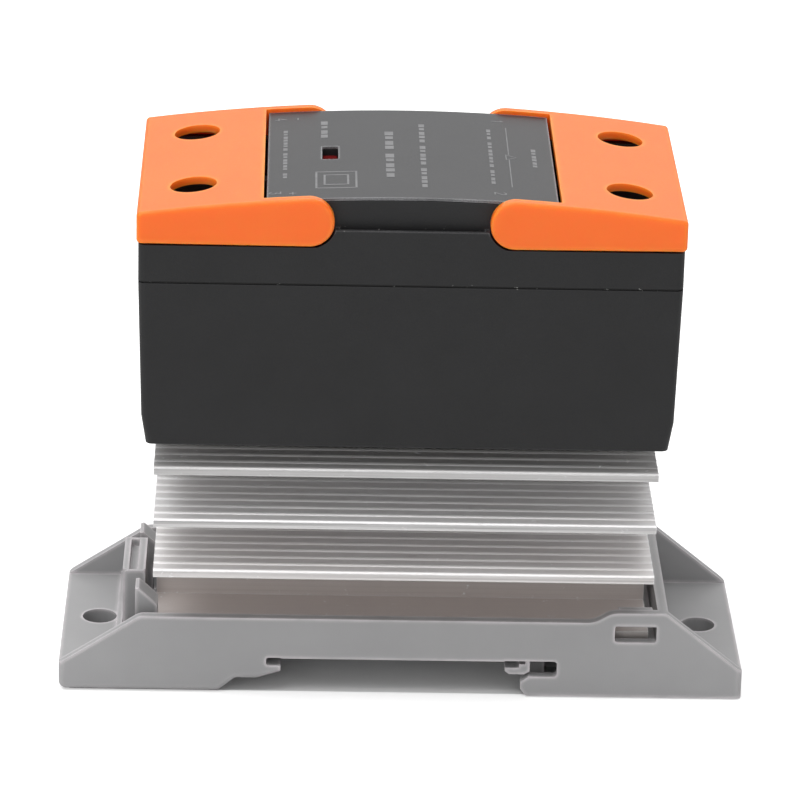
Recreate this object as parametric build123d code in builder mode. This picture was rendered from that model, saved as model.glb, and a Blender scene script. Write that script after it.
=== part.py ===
"""Solid state relay on a finned heat sink, held by a grey DIN-rail base.

Millimetres. X runs from the control side (-) to the output side (+), Y runs
along the rail, Z is up. The origin is the middle of the base's underside.
"""

from build123d import *
import math
import os

os.makedirs("parts", exist_ok=True)

# ---------------------------------------------------------------- driving sizes
BASE_LENGTH = 96.0
BASE_DEPTH = 33.4
BASE_WALL = 1.5
BASE_WALL_TOP = 11.3
BASE_STEP_TOP = 12.8
EAR_TOP = 3.95
EAR_UNDERSIDE = 2.2
EAR_HOLE_X = 42.9
EAR_HOLE_RADIUS = 2.43
EAR_BOSS_RADIUS = 4.0

RAIL_CEILING = 5.2
RAIL_LAND = (-16.8, 14.5)
RAIL_RELIEF_TOP = 5.3
RAIL_GROOVE_LOW = 4.1
RAIL_GROOVE_LEFT = -18.95
RAIL_GROOVE_RIGHT = 16.6
CLIP_TIP = 14.6

TRAY_FLOOR_TOP = 7.2
TRAY_LEFT = -34.9
TRAY_RIGHT = 35.8

SINK_LENGTH = 69.4
SINK_FOOT_DEPTH = 28.4
SINK_FOOT_TOP = 9.0
SINK_WEB = 6.0
FIN_DEPTH = 41.0
FIN_LOWS = (18.8, 26.35, 34.1)
FIN_PLATE = 0.85
FIN_RIB_HEIGHT = 0.25
FIN_RIB_RADIUS = 0.5
FIN_RIB_PITCH = 2.5
SINK_TOP_DEPTH = 37.2
SINK_TOP_LOW = 39.2
SINK_TOP = 43.2
MODULE_SCREW_X = 31.0

SHELL_LENGTH = 73.84
SHELL_DEPTH = 41.4
SHELL_BOTTOM = 38.7
SHELL_CHAMFER_TOP = 42.85
SEAM = 62.4
DECK_TOP = 67.7
SHELL_CORNER = 1.0
SEAM_GROOVE = 0.15

CROWN_RADIUS = 258.0
HOUSING_CROWN = 74.07
LABEL_BOTTOM_CROWN = 74.1
LABEL_CROWN = 74.5
COVER_CROWN = 75.0
PLATEAU_LENGTH = 39.5
PLATEAU_DEPTH = 38.6
LABEL_LENGTH = 39.4
LABEL_DEPTH = 38.4

COVER_END = 37.15
COVER_INNER = 20.1
COVER_DEPTH = 42.0
COVER_ARM = 1.65
COVER_END_WALL = 1.3
COVER_SKIN = 1.1
COVER_BOTTOM = 67.95
ARM_RADIUS = 3.4
HINGE_X = 13.9
HINGE_Z = 71.25
TRUNNION_RADIUS = 1.2
TRUNNION_LENGTH = 1.3
TRUNNION_CLEARANCE = 0.05
ARM_POCKET_RADIUS = 3.7

TERMINAL_X = 29.7
TERMINAL_Y = 11.4
ACCESS_RADIUS = 3.18
SHELF_LOW = 61.4
SHELF_TOP = 63.0
BUSBAR_THICK = 1.2
CLAMP_THICK = 1.1
CLAMP_GAP = 0.05
SCREW_RADIUS = 2.0
THREAD_CLEARANCE = 0.05
SCREW_LENGTH = 8.0
HEAD_RADIUS = 3.7
HEAD_HEIGHT = 2.4

LAMP_X = -11.1
LAMP_Y = 0.3
WINDOW_SPAN_X = (-12.2, -10.0)
WINDOW_SPAN_Y = (-2.45, 3.05)

BOARD_LOW = 55.0
BOARD_TOP = 56.6
BOARD_LEFT = -32.0
BOARD_RIGHT = 16.0

# open ends of the cuts, past the part's own limits
CUT_BELOW = -1.0
CUT_ABOVE = 80.0


def block(x_span, y_span, z_span, mode=Mode.ADD):
    """A box between two limits on each axis, in the part being built."""
    centre = [(low + high) / 2 for low, high in (x_span, y_span, z_span)]
    size = [high - low for low, high in (x_span, y_span, z_span)]
    with Locations(tuple(centre)):
        Box(*size, mode=mode)


def span(sign, low, high):
    """Limits low and high on the sign side of the middle, in rising order."""
    return sorted((sign * low, sign * high))


def outline_xz(points, y_high):
    """A closed outline in X and Z, standing at y_high; extrude goes towards -Y."""
    with BuildSketch(Plane.XZ.offset(-y_high)) as outline:
        with BuildLine():
            Polyline(*points, close=True)
        make_face()
    return outline.sketch


def crown_height(crown, x):
    """Height of a crowned surface at a distance x from the middle."""
    return crown - CROWN_RADIUS + math.sqrt(CROWN_RADIUS ** 2 - x ** 2)


def crowned_outline(x_low, x_high, z_low, crown, y_high):
    """An XZ outline with straight sides and the shared crown arc on top."""
    left = (x_low, crown_height(crown, x_low))
    right = (x_high, crown_height(crown, x_high))
    middle_x = (x_low + x_high) / 2
    middle = (middle_x, crown_height(crown, middle_x))
    with BuildSketch(Plane.XZ.offset(-y_high)) as outline:
        with BuildLine():
            ThreePointArc(left, middle, right)
            Polyline(right, (x_high, z_low), (x_low, z_low), left)
        make_face()
    return outline.sketch


# ------------------------------------------------------------------- DIN base
HALF_BASE = BASE_DEPTH / 2
INNER_Y = HALF_BASE - BASE_WALL
END_X = BASE_LENGTH / 2
POCKET_X = (-39.6, TRAY_LEFT)
POCKET_FLOOR = 1.8
RIM_TOP = 4.4
CROSS_RIB_X = (TRAY_RIGHT, 37.3)
CLIP_BAY_LEFT = 15.9
SLOT_RIGHT = 21.9
SLOT_LOW = 2.95
EAR_WALL_X = 40.4
SNAP_BACK = -35.5
SNAP_FACE = -37.4
SNAP_DEPTH = 3.8
SNAP_HIGH_Y = (-9.5, 10.7)
BOX_X = (-39.4, -36.2)
BOX_Y = (-6.5, 5.0)
BOX_TOP = 14.1
BOX_DISH = 1.0
CORE_WINDOW_X = (29.85, 35.7)
CORE_WINDOW_Z = (8.4, 10.9)
LIP_X = (30.4, 35.2)
LIP_Z = (10.2, 12.3)
LIP_REACH = 2.0
GUIDE_X = (24.2, 33.0)
GUIDE_INNER_Y = 8.2

# rounded corners of the side walls: top edge, hook grooves and feet
WALL_CORNERS = (
    ((37.0, BASE_STEP_TOP), 1.2), ((29.4, BASE_STEP_TOP), 3.5), ((26.9, BASE_WALL_TOP), 3.5),
    ((-36.7, BASE_WALL_TOP), 2.0), ((-25.6, 0), 0.8), ((-23.2, 1.95), 0.8), ((-20.2, 1.95), 1.0),
    ((RAIL_GROOVE_LEFT, RAIL_GROOVE_LOW), 0.35), ((RAIL_GROOVE_LEFT, RAIL_RELIEF_TOP), 0.35),
    ((SLOT_RIGHT, SLOT_LOW), 0.5), ((SLOT_RIGHT, RAIL_RELIEF_TOP), 0.5), ((17.6, 0), 0.5),
)

with BuildPart() as din_base:
    # outline of the side walls, with the rail channel and its fixed hook; the
    # rail lies on the land, and both hook grooves are cut a little deeper
    with BuildSketch(Plane.XZ) as wall_outline:
        with BuildLine():
            Polyline(
                (-END_X, 0), (-25.6, 0), (-23.2, 1.95), (-20.2, 1.95), (-17.2, 2.9),
                (-16.9, 3.3), (-16.9, RAIL_GROOVE_LOW), (RAIL_GROOVE_LEFT, RAIL_GROOVE_LOW),
                (RAIL_GROOVE_LEFT, RAIL_RELIEF_TOP), (RAIL_LAND[0], RAIL_RELIEF_TOP),
                (RAIL_LAND[0], RAIL_CEILING), (RAIL_LAND[1], RAIL_CEILING),
                (RAIL_LAND[1], RAIL_RELIEF_TOP), (SLOT_RIGHT, RAIL_RELIEF_TOP),
                (SLOT_RIGHT, SLOT_LOW), (18.0, SLOT_LOW), (16.8, 2.1), (16.8, 1.1),
                (17.6, 0), (END_X, 0), (END_X, EAR_TOP), (37.0, BASE_STEP_TOP),
                (29.4, BASE_STEP_TOP), (26.9, BASE_WALL_TOP), (-36.7, BASE_WALL_TOP),
                (-END_X, EAR_TOP), close=True,
            )
        make_face()
        foot_corners = wall_outline.vertices().group_by(Axis.Y)[0]
        fillet(foot_corners.sort_by(Axis.X)[0], radius=1.0)
        fillet(foot_corners.sort_by(Axis.X)[-1], radius=1.0)
        for corner, radius in WALL_CORNERS:
            fillet(wall_outline.vertices().sort_by_distance(corner)[0], radius=radius)
    extrude(amount=HALF_BASE, both=True)
    upright = din_base.edges().filter_by(Axis.Z)
    fillet(upright.group_by(Axis.X)[0] + upright.group_by(Axis.X)[-1], radius=0.8)

    # open top: heat sink tray, both ears and the deep pocket at the left
    inner = (-INNER_Y, INNER_Y)
    block((TRAY_LEFT, TRAY_RIGHT), inner, (TRAY_FLOOR_TOP, CUT_ABOVE), Mode.SUBTRACT)
    block((-END_X - 1, -EAR_WALL_X), inner, (EAR_TOP, CUT_ABOVE), Mode.SUBTRACT)
    block((-EAR_WALL_X, TRAY_LEFT), inner, (RIM_TOP, CUT_ABOVE), Mode.SUBTRACT)
    block(POCKET_X, inner, (POCKET_FLOOR, CUT_ABOVE), Mode.SUBTRACT)
    block((CROSS_RIB_X[1], END_X + 1), inner, (EAR_TOP, CUT_ABOVE), Mode.SUBTRACT)

    # hollow underside
    for hollow_x, hollow_top in (
        ((-END_X + BASE_WALL, -EAR_WALL_X), EAR_UNDERSIDE),
        ((-EAR_WALL_X, -34.0), 0.6),
        ((-34.0, -26.4), RAIL_CEILING),
        ((CLIP_BAY_LEFT, CROSS_RIB_X[0]), RAIL_CEILING),
        ((CROSS_RIB_X[0], END_X - BASE_WALL), EAR_UNDERSIDE),
    ):
        block(hollow_x, inner, (CUT_BELOW, hollow_top), Mode.SUBTRACT)

    # screw bosses under the ears, then the screw holes
    with BuildSketch():
        with Locations((-EAR_HOLE_X, 0), (EAR_HOLE_X, 0)):
            Circle(EAR_BOSS_RADIUS)
    extrude(amount=EAR_UNDERSIDE)
    with Locations((-EAR_HOLE_X, 0, EAR_TOP), (EAR_HOLE_X, 0, EAR_TOP)):
        Hole(EAR_HOLE_RADIUS, depth=EAR_TOP)

    # snap hooks that hold the left end of the heat sink's foot
    catch_z = SINK_FOOT_TOP + 0.1
    snap = [
        (SNAP_FACE, POCKET_FLOOR), (SNAP_FACE, 14.0), (-36.9, 14.1), (-34.3, 11.7),
        (-34.3, catch_z), (SNAP_BACK, catch_z), (SNAP_BACK, POCKET_FLOOR),
    ]
    for y_high in SNAP_HIGH_Y:
        extrude(outline_xz(snap, y_high), amount=SNAP_DEPTH)

    # end stop between the snaps: a post with a dished top and a rounded front plate
    block(BOX_X, BOX_Y, (POCKET_FLOOR, BOX_TOP))
    dish_x = (BOX_X[0] + 0.9, BOX_X[1] - 1.1)
    block(dish_x, (BOX_Y[0], BOX_Y[1] - 0.7), (BOX_TOP - BOX_DISH, CUT_ABOVE), Mode.SUBTRACT)
    plate_width = BOX_X[1] - BOX_X[0] - 0.3
    with BuildSketch(Plane.XZ.offset(-BOX_Y[0])) as stop_front:
        with Locations((BOX_X[1] - plate_width / 2, (POCKET_FLOOR + BOX_TOP) / 2)):
            Rectangle(plate_width, BOX_TOP - POCKET_FLOOR)
        fillet(stop_front.vertices().group_by(Axis.Y)[-1], radius=0.45)
    extrude(amount=0.5)

    # retaining lips over the right end of the foot, and the core windows below them
    for side in (-1, 1):
        block(LIP_X, span(side, INNER_Y - LIP_REACH, INNER_Y + 0.2), LIP_Z)
        with BuildSketch(Plane.XZ.offset(-side * (INNER_Y + 0.2))):
            with Locations((sum(CORE_WINDOW_X) / 2, sum(CORE_WINDOW_Z) / 2)):
                window_size = [high - low for low, high in (CORE_WINDOW_X, CORE_WINDOW_Z)]
                RectangleRounded(*window_size, 0.35)
        extrude(amount=-side * BASE_DEPTH, mode=Mode.SUBTRACT)
        under_lip = (CORE_WINDOW_Z[0], LIP_Z[0])
        block(CORE_WINDOW_X, span(side, INNER_Y, INNER_Y + 0.3), under_lip, Mode.SUBTRACT)

    # guide rails of the rail catch, and the rib that its spring pushes on
    for side in (-1, 1):
        block(GUIDE_X, span(side, GUIDE_INNER_Y, GUIDE_INNER_Y + 1.2), (0.0, RAIL_CEILING))
        block(GUIDE_X, span(side, GUIDE_INNER_Y - 1.4, GUIDE_INNER_Y), (0.0, 0.45))
    block((GUIDE_X[1], GUIDE_X[1] + 1.2), (-3.0, 3.0), (2.3, RAIL_CEILING))

din_base.part.label = "din_base"
export_step(din_base.part, "parts/din_base.step")

# ------------------------------------------------------------------- rail catch
CLIP_PLATE_LOW = 0.6
CLIP_PLATE_TOP = 2.0
CLIP_BAR_DEPTH = 32.4
CLIP_BODY_DEPTH = 24.0
CLIP_TAIL_DEPTH = 16.0
CLIP_TAIL_END = 42.2
CLIP_BAR_END = 18.1

with BuildPart() as din_clip:
    # end-to-end bar: rail groove, step and lead-in
    bar = [
        (CLIP_TIP, RAIL_GROOVE_LOW - 0.05), (CLIP_TIP, 3.55), (15.2, 3.05), (17.3, 3.05),
        (CLIP_BAR_END, 3.5), (CLIP_BAR_END, RAIL_CEILING - 0.1), (17.5, RAIL_CEILING - 0.1),
        (17.5, 4.6), (RAIL_GROOVE_RIGHT, 4.6), (RAIL_GROOVE_RIGHT, RAIL_GROOVE_LOW - 0.05),
    ]
    extrude(outline_xz(bar, CLIP_BAR_DEPTH / 2), amount=CLIP_BAR_DEPTH)
    # body with the ramp that the rail pushes aside
    ramp = [
        (CLIP_TIP + 0.2, 3.4), (16.6, 1.4), (17.4, CLIP_PLATE_LOW), (20.4, CLIP_PLATE_LOW),
        (20.4, 3.9), (15.4, 3.9),
    ]
    extrude(outline_xz(ramp, CLIP_BODY_DEPTH / 2), amount=CLIP_BODY_DEPTH)
    half_tail = CLIP_TAIL_DEPTH / 2
    block((20.4, CLIP_TAIL_END), (-half_tail, half_tail), (CLIP_PLATE_LOW, CLIP_PLATE_TOP))
    # fork round the screw boss
    block((34.6, CLIP_TAIL_END + 1), (-4.7, 4.7), (0, 3), Mode.SUBTRACT)
    # tab that the spring pushes on, and the two pry holes
    block((20.4, 22.0), (-3.0, 3.0), (CLIP_PLATE_LOW, RAIL_CEILING - 0.3))
    with Locations((39.6, -6.35, CLIP_PLATE_TOP), (39.6, 6.35, CLIP_PLATE_TOP)):
        Hole(0.9, depth=CLIP_PLATE_TOP)

din_clip.part.label = "din_clip"
export_step(din_clip.part, "parts/din_clip.step")

# ------------------------------------------------------------- rail catch spring
SPRING_WIRE = 0.25
SPRING_RADIUS = 1.05
SPRING_TURNS = 7
SPRING_AXIS_Z = 3.5
SPRING_START = 22.3
SPRING_END = 32.7

with BuildPart() as din_clip_spring:
    spring_length = SPRING_END - SPRING_START
    with BuildLine() as coil:
        Helix(
            pitch=spring_length / SPRING_TURNS, height=spring_length, radius=SPRING_RADIUS,
            center=(SPRING_START, 0, SPRING_AXIS_Z), direction=(1, 0, 0),
        )
    with BuildSketch(Plane(origin=coil.line @ 0, z_dir=coil.line % 0)):
        Circle(SPRING_WIRE)
    sweep(path=coil.line, is_frenet=True)

din_clip_spring.part.label = "din_clip_spring"
export_step(din_clip_spring.part, "parts/din_clip_spring.step")

# ------------------------------------------------------------------ heat sink
with BuildPart() as heatsink:
    rib_count = int(FIN_DEPTH / 2 / FIN_RIB_PITCH) - 1
    with BuildSketch(Plane.YZ):
        with Locations((0, (TRAY_FLOOR_TOP + SINK_FOOT_TOP) / 2)):
            Rectangle(SINK_FOOT_DEPTH, SINK_FOOT_TOP - TRAY_FLOOR_TOP)
        with Locations((0, (SINK_FOOT_TOP + SINK_TOP_LOW) / 2)):
            Rectangle(SINK_WEB, SINK_TOP_LOW - SINK_FOOT_TOP)
        with Locations((0, (SINK_TOP_LOW + SINK_TOP) / 2)):
            Rectangle(SINK_TOP_DEPTH, SINK_TOP - SINK_TOP_LOW)
        for fin_low in FIN_LOWS:
            plate_low = fin_low + FIN_RIB_HEIGHT
            plate_top = plate_low + FIN_PLATE
            with Locations((0, (plate_low + plate_top) / 2)):
                Rectangle(FIN_DEPTH, FIN_PLATE)
            # rounded ribs along both faces of the fin
            for side in (-1, 1):
                for rib in range(rib_count):
                    rib_y = side * (FIN_DEPTH / 2 - FIN_RIB_RADIUS - rib * FIN_RIB_PITCH)
                    sunk = FIN_RIB_RADIUS - FIN_RIB_HEIGHT
                    with Locations((rib_y, plate_top - sunk), (rib_y, plate_low + sunk)):
                        Circle(FIN_RIB_RADIUS)
    extrude(amount=SINK_LENGTH / 2, both=True)
    with Locations((-MODULE_SCREW_X, 0, SINK_TOP), (MODULE_SCREW_X, 0, SINK_TOP)):
        Hole(SCREW_RADIUS + THREAD_CLEARANCE, depth=6.5)

heatsink.part.label = "heatsink"
export_step(heatsink.part, "parts/heatsink.step")

# ------------------------------------------------------- thermal stack of the module
PAD_TOP = SINK_TOP + 0.3
PLATE_TOP = PAD_TOP + 3.0
CERAMIC_TOP = PLATE_TOP + 0.6
TRACK_TOP = CERAMIC_TOP + 0.3
CHIP_TOP = TRACK_TOP + 0.4
MODULE_HOLE_RADIUS = 2.25

with BuildPart() as thermal_pad:
    block((-26, 26), (-17.5, 17.5), (SINK_TOP, PAD_TOP))

thermal_pad.part.label = "thermal_pad"
export_step(thermal_pad.part, "parts/thermal_pad.step")

with BuildPart() as base_plate:
    with BuildSketch(Plane.XY.offset(PAD_TOP)):
        RectangleRounded(68.0, 35.6, 1.5)
        with Locations((-MODULE_SCREW_X, 0), (MODULE_SCREW_X, 0)):
            Circle(MODULE_HOLE_RADIUS, mode=Mode.SUBTRACT)
    extrude(amount=PLATE_TOP - PAD_TOP)

base_plate.part.label = "base_plate"
export_step(base_plate.part, "parts/base_plate.step")

with BuildPart() as ceramic_substrate:
    block((-3, 25), (-11.8, 11.8), (PLATE_TOP, CERAMIC_TOP))

ceramic_substrate.part.label = "ceramic_substrate"
export_step(ceramic_substrate.part, "parts/ceramic_substrate.step")

with BuildPart() as copper_tracks:
    for side in (-1, 1):
        block((-2, 24), span(side, 1.0, 11.3), (CERAMIC_TOP, TRACK_TOP))

copper_tracks.part.label = "copper_tracks"
export_step(copper_tracks.part, "parts/copper_tracks.step")

# one thyristor on each track, turned round to each other
CHIP_X = (3.0, 10.0)
CHIP_Y = 6.0
CHIP_SIZE = 8.0

with BuildPart() as thyristor_chips:
    for chip_x, side in zip(CHIP_X, (1, -1)):
        with BuildSketch(Plane.XY.offset(TRACK_TOP)):
            with Locations((chip_x, side * CHIP_Y)):
                Rectangle(CHIP_SIZE, CHIP_SIZE)
        extrude(amount=CHIP_TOP - TRACK_TOP)

thyristor_chips.part.label = "thyristor_chips"
export_step(thyristor_chips.part, "parts/thyristor_chips.step")

STRAP_THICK = 0.5

with BuildPart() as copper_straps:
    # each strap runs from the top of one chip, over the gap, to the other track
    for chip_x, side in zip(CHIP_X, (1, -1)):
        bridge = [
            (side * 8.5, CHIP_TOP), (side * 8.5, CHIP_TOP + STRAP_THICK),
            (side * -3.0, CHIP_TOP + STRAP_THICK), (side * -3.0, TRACK_TOP),
            (side * -2.0, TRACK_TOP), (side * -2.0, CHIP_TOP),
        ]
        with BuildSketch(Plane.YZ.offset(chip_x - 2.8)):
            with BuildLine():
                Polyline(*bridge, close=True)
            make_face()
        extrude(amount=3.2)

copper_straps.part.label = "copper_straps"
export_step(copper_straps.part, "parts/copper_straps.step")

with BuildPart() as gate_leads:
    for lead_x, lead_y, lead_low in (
        (6.0, 6.0, CHIP_TOP), (13.0, -6.0, CHIP_TOP),
        (14.6, 6.0, TRACK_TOP), (-1.0, -6.0, TRACK_TOP),
    ):
        with BuildSketch(Plane.XY.offset(lead_low)):
            with Locations((lead_x, lead_y)):
                Circle(0.35)
        extrude(amount=BOARD_LOW - lead_low)

gate_leads.part.label = "gate_leads"
export_step(gate_leads.part, "parts/gate_leads.step")

# --------------------------------------------------------------- lower housing
LEDGE_TOP = PLATE_TOP + 2.0
CAVITY_X = 35.1
CAVITY_Y = 18.9

with BuildPart() as lower_housing:
    # three sections: foot, top of the chamfer, seam
    for section_z, section_length, section_depth in (
        (SHELL_BOTTOM, 71.66, 40.4),
        (SHELL_CHAMFER_TOP, 72.9, 41.2),
        (SEAM, SHELL_LENGTH, SHELL_DEPTH),
    ):
        with BuildSketch(Plane.XY.offset(section_z)):
            RectangleRounded(section_length, section_depth, SHELL_CORNER)
    loft(ruled=True)
    block((-35.0, 35.0), (-19.0, 19.0), (CUT_BELOW, PLATE_TOP), Mode.SUBTRACT)
    block((-CAVITY_X, CAVITY_X), (-CAVITY_Y, CAVITY_Y), (LEDGE_TOP, CUT_ABOVE), Mode.SUBTRACT)
    block((-27.0, 27.0), (-16.5, 16.5), (PLATE_TOP - 1, LEDGE_TOP + 1), Mode.SUBTRACT)
    with Locations((-MODULE_SCREW_X, 0, LEDGE_TOP), (MODULE_SCREW_X, 0, LEDGE_TOP)):
        Hole(MODULE_HOLE_RADIUS, depth=LEDGE_TOP - PLATE_TOP)
    # shadow gap all round under the upper housing
    with BuildSketch(Plane.XY.offset(SEAM - SEAM_GROOVE)):
        Rectangle(SHELL_LENGTH + 1, SHELL_DEPTH + 1)
        RectangleRounded(
            SHELL_LENGTH - 2 * SEAM_GROOVE, SHELL_DEPTH - 2 * SEAM_GROOVE, SHELL_CORNER,
            mode=Mode.SUBTRACT,
        )
    extrude(amount=1, mode=Mode.SUBTRACT)

lower_housing.part.label = "lower_housing"
export_step(lower_housing.part, "parts/lower_housing.step")

with BuildPart() as module_screws:
    with BuildSketch(Plane.XY.offset(LEDGE_TOP)):
        with Locations((-MODULE_SCREW_X, 0), (MODULE_SCREW_X, 0)):
            Circle(3.5)
    extrude(amount=2.4)
    fillet(module_screws.edges().group_by(Axis.Z)[-1], radius=0.8)
    with BuildSketch(Plane.XY.offset(LEDGE_TOP + 2.4)):
        with Locations((-MODULE_SCREW_X, 0), (MODULE_SCREW_X, 0)):
            Rectangle(3.6, 0.8)
            Rectangle(0.8, 3.6)
    extrude(amount=-1.3, mode=Mode.SUBTRACT)
    with BuildSketch(Plane.XY.offset(LEDGE_TOP)):
        with Locations((-MODULE_SCREW_X, 0), (MODULE_SCREW_X, 0)):
            Circle(SCREW_RADIUS)
    extrude(amount=-11.0)

module_screws.part.label = "module_screws"
export_step(module_screws.part, "parts/module_screws.step")

# --------------------------------------------------------------- upper housing
HALF_PLATEAU = PLATEAU_LENGTH / 2
SHOULDER_TOP = 70.2
SHOULDER_RIM = 0.55
RIM_HEIGHT = 70.5
BAY_X = (HALF_PLATEAU, 35.4)
BAY_Y = (1.1, 17.9)
NUT_SIZE = 7.0
NUT_THICK = 3.2
NUT_LOW = SHELF_TOP - NUT_THICK
BOSS_LOW = NUT_LOW - 0.8
RISER_X = (21.0, 22.2)
RISER_Y = (TERMINAL_Y - 4.75, TERMINAL_Y - 0.25)
ENDS = (-1, 1)
CORNERS = [(end, side) for end in ENDS for side in (1, -1)]

with BuildPart() as upper_housing:
    # deck round the terminals
    with BuildSketch(Plane.XY.offset(SEAM)):
        RectangleRounded(SHELL_LENGTH, SHELL_DEPTH, SHELL_CORNER)
    extrude(amount=DECK_TOP - SEAM)
    # shoulders between the cover arms, cut round to clear the arm ends
    with BuildSketch(Plane.XZ.offset(-SHELL_DEPTH / 2)):
        with Locations((0, (DECK_TOP + SHOULDER_TOP) / 2)):
            Rectangle(2 * HINGE_X, SHOULDER_TOP - DECK_TOP)
        with Locations((-HINGE_X, HINGE_Z), (HINGE_X, HINGE_Z)):
            Circle(ARM_POCKET_RADIUS, mode=Mode.SUBTRACT)
    extrude(amount=SHELL_DEPTH)
    # groove along the foot of the plateau, inside the edge of each shoulder
    for side in (-1, 1):
        groove_y = span(side, PLATEAU_DEPTH / 2, SHELL_DEPTH / 2 - SHOULDER_RIM)
        block((-9.8, 9.8), groove_y, (SHOULDER_TOP - 0.5, CUT_ABOVE), Mode.SUBTRACT)
    # crowned plateau under the label
    plateau = crowned_outline(-HALF_PLATEAU, HALF_PLATEAU, SEAM, HOUSING_CROWN, PLATEAU_DEPTH / 2)
    extrude(plateau, amount=PLATEAU_DEPTH)
    # finger-guard rims inside the covers
    for end in ENDS:
        block(span(end, HALF_PLATEAU, 35.3), (-19.1, 19.1), (DECK_TOP - 1, RIM_HEIGHT))
    # spigot that locates in the lower housing and carries the terminals
    block((-35.0, 35.0), (-18.8, 18.8), (SHELF_LOW, SEAM))
    for end, side in CORNERS:
        boss_x = span(end, TERMINAL_X - 5.0, TERMINAL_X + 5.0)
        boss_y = span(side, TERMINAL_Y - 5.0, TERMINAL_Y + 5.0)
        block(boss_x, boss_y, (BOSS_LOW, SHELF_LOW))
    # room for the electronics under the plateau
    block((-17.8, 17.8), (-17.6, 17.6), (SHELF_LOW - 1, 72.4), Mode.SUBTRACT)
    for end, side in CORNERS:
        # terminal bay, wire entry, slot for the busbar's riser, nut pocket and screw hole
        open_above = (SHELF_TOP, CUT_ABOVE)
        block(span(end, *BAY_X), span(side, *BAY_Y), open_above, Mode.SUBTRACT)
        entry_y = span(side, TERMINAL_Y - 4.8, TERMINAL_Y + 4.8)
        block(span(end, 34.0, 38.0), entry_y, open_above, Mode.SUBTRACT)
        slot_x = span(end, RISER_X[0] - 0.2, RISER_X[1] + 0.2)
        slot_y = span(side, RISER_Y[0] - 0.2, RISER_Y[1] + 0.2)
        block(slot_x, slot_y, (SHELF_LOW - 1, SHELF_TOP + 1), Mode.SUBTRACT)
        half_nut = NUT_SIZE / 2 + 0.1
        nut_x = span(end, TERMINAL_X - half_nut, TERMINAL_X + half_nut)
        nut_y = span(side, TERMINAL_Y - half_nut, TERMINAL_Y + half_nut)
        block(nut_x, nut_y, (NUT_LOW, SHELF_TOP + 1), Mode.SUBTRACT)
        with Locations((end * TERMINAL_X, side * TERMINAL_Y, NUT_LOW)):
            Hole(SCREW_RADIUS + 0.4, depth=NUT_LOW - BOSS_LOW)
    # trunnion holes and the indicator window
    for end in ENDS:
        with BuildSketch(Plane.XZ.offset(PLATEAU_DEPTH / 2)):
            with Locations((end * HINGE_X, HINGE_Z)):
                Circle(TRUNNION_RADIUS + TRUNNION_CLEARANCE)
        extrude(amount=-PLATEAU_DEPTH, mode=Mode.SUBTRACT)
    block(WINDOW_SPAN_X, WINDOW_SPAN_Y, (70, CUT_ABOVE), Mode.SUBTRACT)

upper_housing.part.label = "upper_housing"
export_step(upper_housing.part, "parts/upper_housing.step")

# ------------------------------------------------------------------ rating plate
with BuildPart() as label_plate:
    half_label = LABEL_LENGTH / 2
    face = crowned_outline(-half_label, half_label, SEAM, LABEL_CROWN, LABEL_DEPTH / 2)
    extrude(face, amount=LABEL_DEPTH)
    under_x = half_label + 1
    under = crowned_outline(-under_x, under_x, SEAM - 1, LABEL_BOTTOM_CROWN, PLATEAU_DEPTH / 2)
    extrude(under, amount=PLATEAU_DEPTH, mode=Mode.SUBTRACT)
    block(WINDOW_SPAN_X, WINDOW_SPAN_Y, (70, CUT_ABOVE), Mode.SUBTRACT)

label_plate.part.label = "label_plate"
export_step(label_plate.part, "parts/label_plate.step")

# --------------------------------------------------------------- terminal covers
HALF_COVER = COVER_DEPTH / 2
ARM_INNER = HALF_COVER - COVER_ARM


def terminal_cover(end, name):
    """Hinged cover over one pair of terminals, with two rounded arms."""
    with BuildPart() as cover:
        with BuildSketch(Plane.XZ.offset(-HALF_COVER)) as side_view:
            with BuildLine():
                top_inner = (end * HINGE_X, HINGE_Z + ARM_RADIUS)
                top_outer = (end * COVER_END, crown_height(COVER_CROWN, COVER_END))
                middle_x = (HINGE_X + COVER_END) / 2
                top_middle = (end * middle_x, crown_height(COVER_CROWN, middle_x))
                low_outer = (end * COVER_END, COVER_BOTTOM)
                low_inner = (end * HINGE_X, HINGE_Z - ARM_RADIUS)
                ThreePointArc(top_inner, top_middle, top_outer)
                Polyline(top_outer, low_outer, low_inner, top_inner)
            make_face()
            with Locations((end * HINGE_X, HINGE_Z)):
                Circle(ARM_RADIUS)
            outer_corners = side_view.vertices().sort_by(Axis.X)
            outer_corners = outer_corners[-2:] if end > 0 else outer_corners[:2]
            fillet(outer_corners, radius=0.6)
        extrude(amount=COVER_DEPTH)
        rims = cover.edges().group_by(Axis.Y)
        fillet(rims[0] + rims[-1], radius=0.45)
        # hollow under the skin, then the notch round the plateau
        hollow_x = span(end, 5.0, COVER_END - COVER_END_WALL)
        hollow = crowned_outline(*hollow_x, SEAM, COVER_CROWN - COVER_SKIN, ARM_INNER)
        extrude(hollow, amount=2 * ARM_INNER, mode=Mode.SUBTRACT)
        notch_x = span(end, 5.0, COVER_INNER)
        block(notch_x, (-ARM_INNER, ARM_INNER), (SEAM, CUT_ABOVE), Mode.SUBTRACT)
        # screwdriver access holes
        with BuildSketch(Plane.XY.offset(SEAM)):
            with Locations((end * TERMINAL_X, -TERMINAL_Y), (end * TERMINAL_X, TERMINAL_Y)):
                Circle(ACCESS_RADIUS)
        extrude(amount=CUT_ABOVE - SEAM, mode=Mode.SUBTRACT)
        # trunnions on the inner faces of the arms
        for side in (-1, 1):
            with BuildSketch(Plane.XZ.offset(side * (ARM_INNER + 0.5))):
                with Locations((end * HINGE_X, HINGE_Z)):
                    Circle(TRUNNION_RADIUS)
            extrude(amount=-side * (TRUNNION_LENGTH + 0.5))
    cover.part.label = name
    export_step(cover.part, f"parts/{name}.step")


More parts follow.
